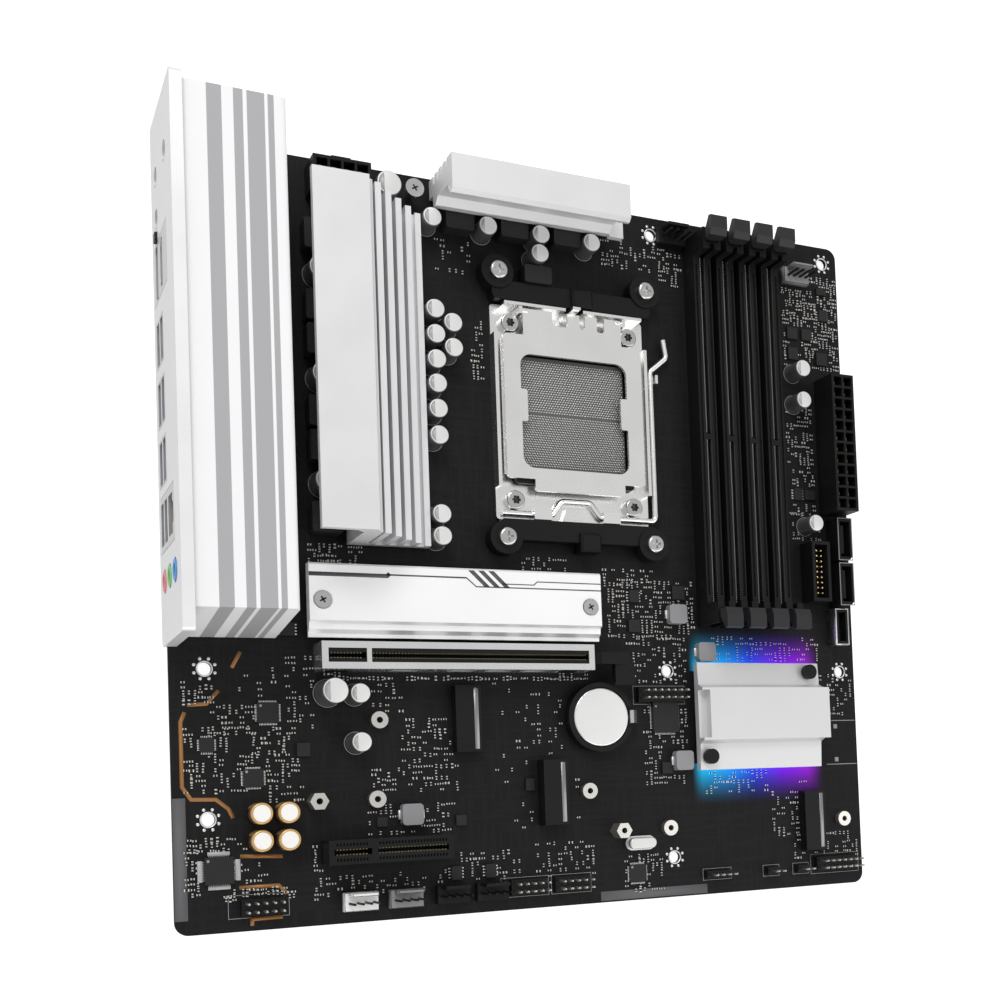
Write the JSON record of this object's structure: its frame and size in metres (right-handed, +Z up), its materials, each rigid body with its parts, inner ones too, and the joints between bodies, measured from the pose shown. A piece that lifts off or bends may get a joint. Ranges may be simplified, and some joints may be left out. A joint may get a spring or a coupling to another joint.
{
  "type": "computer motherboard",
  "caption": "Micro-ATX computer motherboard with processor socket, memory and expansion slots, rear ports and silver heatsinks.",
  "frame": {"origin": "axis of the rear mounting hole at the processor end, on the component side of the board", "axes": "+Z up off the component side, +X from the rear ports towards the front edge, +Y towards the processor end"},
  "size_m": [0.2455, 0.2453, 0.0444],
  "materials": {
    "board_laminate": "matt solder mask",
    "shield_steel": "bright tinned",
    "port_shell": "satin",
    "black_plastic": "moulded",
    "latch_plastic": "moulded",
    "white_shell": "satin white",
    "silver_aluminium": "bead-blasted silver",
    "stamped_steel": "satin nickel",
    "screw_steel": "bright",
    "package_black": "moulded epoxy",
    "ferrite_grey": "matt",
    "can_silver": "drawn can",
    "sleeve_gold": "gold sleeve",
    "pad_grey": "soft pad",
    "contact_gold": "gold plated",
    "insert_brass": "tinned"
  },
  "bodies": {
    "board": {"pcb": "board_laminate", "io_shield": "shield_steel", "usb_stacks": "port_shell", "lan_usb_stack": "port_shell", "display_ports": "port_shell", "audio_jacks": "black_plastic", "bios_switch": "black_plastic", "atx_connector": "black_plastic", "eps_connector": "black_plastic", "socket_body": "black_plastic", "dimm_slot_1": "black_plastic", "dimm_slot_2": "black_plastic", "dimm_slot_3": "black_plastic", "dimm_slot_4": "black_plastic", "pcie_x16_slot": "black_plastic", "pcie_x4_slot": "black_plastic", "m2_sockets": "black_plastic", "battery_holder": "black_plastic", "sata_ports": "black_plastic", "usb_headers": "black_plastic", "pin_headers": "black_plastic", "fan_light_headers": "black_plastic", "cooler_bracket_top": "black_plastic", "cooler_bracket_bottom": "black_plastic", "push_pins": "black_plastic", "io_cover": "white_shell", "vrm_heatsink_left": "silver_aluminium", "vrm_heatsink_top": "silver_aluminium", "m2_armor": "silver_aluminium", "chipset_heatsink": "silver_aluminium", "socket_frame": "stamped_steel", "pcie_x16_shell": "stamped_steel", "cpu_backplate": "stamped_steel", "socket_screws": "screw_steel", "cooler_screws": "screw_steel", "heatsink_screws": "screw_steel", "ic_packages": "package_black", "chokes": "package_black", "inductors": "ferrite_grey", "crystal": "can_silver", "solid_capacitors": "can_silver", "audio_capacitors": "sleeve_gold", "thermal_pads": "pad_grey", "power_pins": "contact_gold", "socket_contacts": "contact_gold", "m2_standoffs": "insert_brass"},
    "load_plate": {"load_plate": "stamped_steel"},
    "socket_lever": {"socket_lever": "stamped_steel"},
    "pcie_x16_latch": {"pcie_x16_latch": "black_plastic"},
    "battery_cell": {"battery_cell": "can_silver"},
    "battery_clip": {"battery_clip": "stamped_steel"},
    "bios_button": {"bios_button": "black_plastic"},
    "dimm_latch_top_1": {"dimm_latch_top_1": "latch_plastic"},
    "dimm_latch_top_2": {"dimm_latch_top_2": "latch_plastic"},
    "dimm_latch_top_3": {"dimm_latch_top_3": "latch_plastic"},
    "dimm_latch_top_4": {"dimm_latch_top_4": "latch_plastic"},
    "dimm_latch_bottom_1": {"dimm_latch_bottom_1": "latch_plastic"},
    "dimm_latch_bottom_2": {"dimm_latch_bottom_2": "latch_plastic"},
    "dimm_latch_bottom_3": {"dimm_latch_bottom_3": "latch_plastic"},
    "dimm_latch_bottom_4": {"dimm_latch_bottom_4": "latch_plastic"}
  },
  "joints": [
    {"name": "load_plate_hinge", "type": "hinge", "parent": "board", "child": "load_plate", "pos_m": [0.09838, -0.03605, 0.0052], "axis": [-1, 0, 0], "range_deg": [0, 100]},
    {"name": "socket_lever_hinge", "type": "hinge", "parent": "board", "child": "socket_lever", "pos_m": [0.09838, -0.10465, 0.0024], "axis": [1, 0, 0], "range_deg": [0, 115]},
    {"name": "dimm_latch_top_1_hinge", "type": "hinge", "parent": "board", "child": "dimm_latch_top_1", "pos_m": [0.14828, -0.00385, 0.0032], "axis": [-1, 0, 0], "range_deg": [0, 30]},
    {"name": "dimm_latch_bottom_1_hinge", "type": "hinge", "parent": "board", "child": "dimm_latch_bottom_1", "pos_m": [0.14828, -0.13845, 0.0032], "axis": [1, 0, 0], "range_deg": [0, 30]},
    {"name": "dimm_latch_top_2_hinge", "type": "hinge", "parent": "board", "child": "dimm_latch_top_2", "pos_m": [0.15758, -0.00385, 0.0032], "axis": [-1, 0, 0], "range_deg": [0, 30]},
    {"name": "dimm_latch_bottom_2_hinge", "type": "hinge", "parent": "board", "child": "dimm_latch_bottom_2", "pos_m": [0.15758, -0.13845, 0.0032], "axis": [1, 0, 0], "range_deg": [0, 30]},
    {"name": "dimm_latch_top_3_hinge", "type": "hinge", "parent": "board", "child": "dimm_latch_top_3", "pos_m": [0.16688, -0.00385, 0.0032], "axis": [-1, 0, 0], "range_deg": [0, 30]},
    {"name": "dimm_latch_bottom_3_hinge", "type": "hinge", "parent": "board", "child": "dimm_latch_bottom_3", "pos_m": [0.16688, -0.13845, 0.0032], "axis": [1, 0, 0], "range_deg": [0, 30]},
    {"name": "dimm_latch_top_4_hinge", "type": "hinge", "parent": "board", "child": "dimm_latch_top_4", "pos_m": [0.17618, -0.00385, 0.0032], "axis": [-1, 0, 0], "range_deg": [0, 30]},
    {"name": "dimm_latch_bottom_4_hinge", "type": "hinge", "parent": "board", "child": "dimm_latch_bottom_4", "pos_m": [0.17618, -0.13845, 0.0032], "axis": [1, 0, 0], "range_deg": [0, 30]},
    {"name": "pcie_latch_hinge", "type": "hinge", "parent": "board", "child": "pcie_x16_latch", "pos_m": [0.10078, -0.15405, 0.004], "axis": [0, 1, 0], "range_deg": [0, 8]},
    {"name": "battery_cell_lift", "type": "slide", "parent": "board", "child": "battery_cell", "axis": [0, 0, 1], "range_m": [0, 0.01]},
    {"name": "battery_clip_hinge", "type": "hinge", "parent": "board", "child": "battery_clip", "pos_m": [0.11498, -0.17385, 0.0016], "axis": [0, 1, 0], "range_deg": [0, 10], "stiffness_Nm_per_rad": 0.02},
    {"name": "bios_button_press", "type": "slide", "parent": "board", "child": "bios_button", "axis": [1, 0, 0], "range_m": [0, 0.0005], "stiffness_N_per_m": 400}
  ]
}
